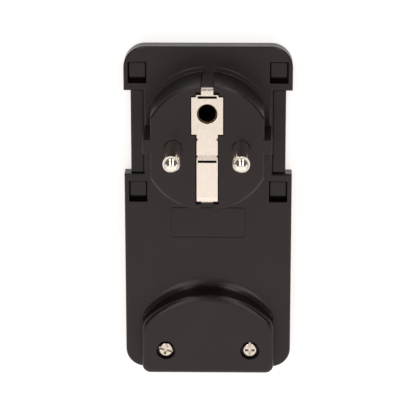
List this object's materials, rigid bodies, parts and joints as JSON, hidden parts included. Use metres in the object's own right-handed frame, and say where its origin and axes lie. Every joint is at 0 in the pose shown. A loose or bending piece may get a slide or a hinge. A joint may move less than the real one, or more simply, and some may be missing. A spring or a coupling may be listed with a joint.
{
  "type": "flat schuko plug",
  "caption": "Flat two-part black mains plug: round nose with pins, flats and earth strip on a long plate, arched hood with a cord clamp and cable entry at its end.",
  "frame": {"origin": "where the plug axis meets the outside of the flat front lid, which is the face it lies on", "axes": "+Z along the pins, away from the lid; +Y along the housing, from the cable end to the top"},
  "size_m": [0.0484, 0.0968, 0.043],
  "materials": {
    "housing_plastic": "satin moulded",
    "carrier_plastic": "moulded",
    "pin_nickel": "nickel plated, polished",
    "earth_sheet": "nickel plated sheet",
    "contact_brass": "turned",
    "screw_steel": "zinc plated"
  },
  "bodies": {
    "root": {"rear_shell": "housing_plastic", "front_lid": "housing_plastic", "earth_strip": "earth_sheet", "earth_socket": "contact_brass", "earth_lug": "contact_brass", "terminal_carrier": "carrier_plastic", "cord_clamp": "carrier_plastic", "terminal_screw_earth": "screw_steel", "contact_pin_left": "pin_nickel", "terminal_screw_left": "screw_steel", "clamp_screw_left": "screw_steel", "lid_screw_left": "screw_steel", "contact_pin_right": "pin_nickel", "terminal_screw_right": "screw_steel", "clamp_screw_right": "screw_steel", "lid_screw_right": "screw_steel"}
  },
  "joints": []
}
